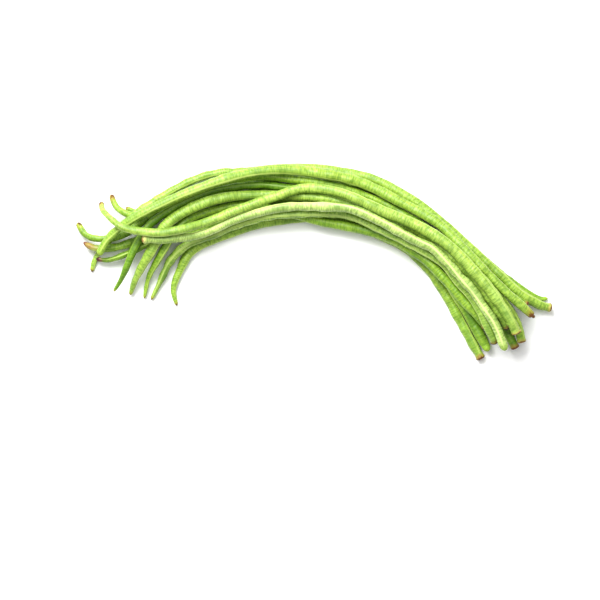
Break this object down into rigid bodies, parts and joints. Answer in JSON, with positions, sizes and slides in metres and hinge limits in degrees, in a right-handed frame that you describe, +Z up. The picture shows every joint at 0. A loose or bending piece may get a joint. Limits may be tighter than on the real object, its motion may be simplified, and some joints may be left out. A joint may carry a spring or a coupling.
{
  "type": "yardlong bean bunch",
  "caption": "Bunch of long, slender green bean pods lying together and bowed into a low arch, with hooked tips at one side and blunt stem ends at the other.",
  "frame": {"origin": "on the surface that the bunch lies on, under the middle of its bounding box", "axes": "+X along the bunch towards the stem ends, +Y towards the crown of the arch, +Z up"},
  "size_m": [0.4078, 0.1696, 0.041],
  "materials": {
    "pod_01_skin": "satin waxy pod skin, green, browned at the ends",
    "pod_02_skin": "satin waxy pod skin, green, browned at the ends",
    "pod_03_skin": "satin waxy pod skin, green, browned at the ends",
    "pod_04_skin": "satin waxy pod skin, green, browned at the ends",
    "pod_05_skin": "satin waxy pod skin, green, browned at the ends",
    "pod_06_skin": "satin waxy pod skin, green, browned at the ends",
    "pod_07_skin": "satin waxy pod skin, green, browned at the ends",
    "pod_08_skin": "satin waxy pod skin, green, browned at the ends",
    "pod_09_skin": "satin waxy pod skin, green, browned at the ends",
    "pod_10_skin": "satin waxy pod skin, green, browned at the ends",
    "pod_11_skin": "satin waxy pod skin, green, browned at the ends",
    "pod_12_skin": "satin waxy pod skin, green, browned at the ends",
    "pod_13_skin": "satin waxy pod skin, green, browned at the ends",
    "pod_14_skin": "satin waxy pod skin, green, browned at the ends"
  },
  "bodies": {
    "root": {"pod_01": "pod_01_skin", "pod_02": "pod_02_skin", "pod_03": "pod_03_skin", "pod_04": "pod_04_skin", "pod_05": "pod_05_skin", "pod_06": "pod_06_skin", "pod_07": "pod_07_skin", "pod_08": "pod_08_skin", "pod_09": "pod_09_skin", "pod_10": "pod_10_skin", "pod_11": "pod_11_skin", "pod_12": "pod_12_skin", "pod_13": "pod_13_skin", "pod_14": "pod_14_skin"}
  },
  "joints": []
}
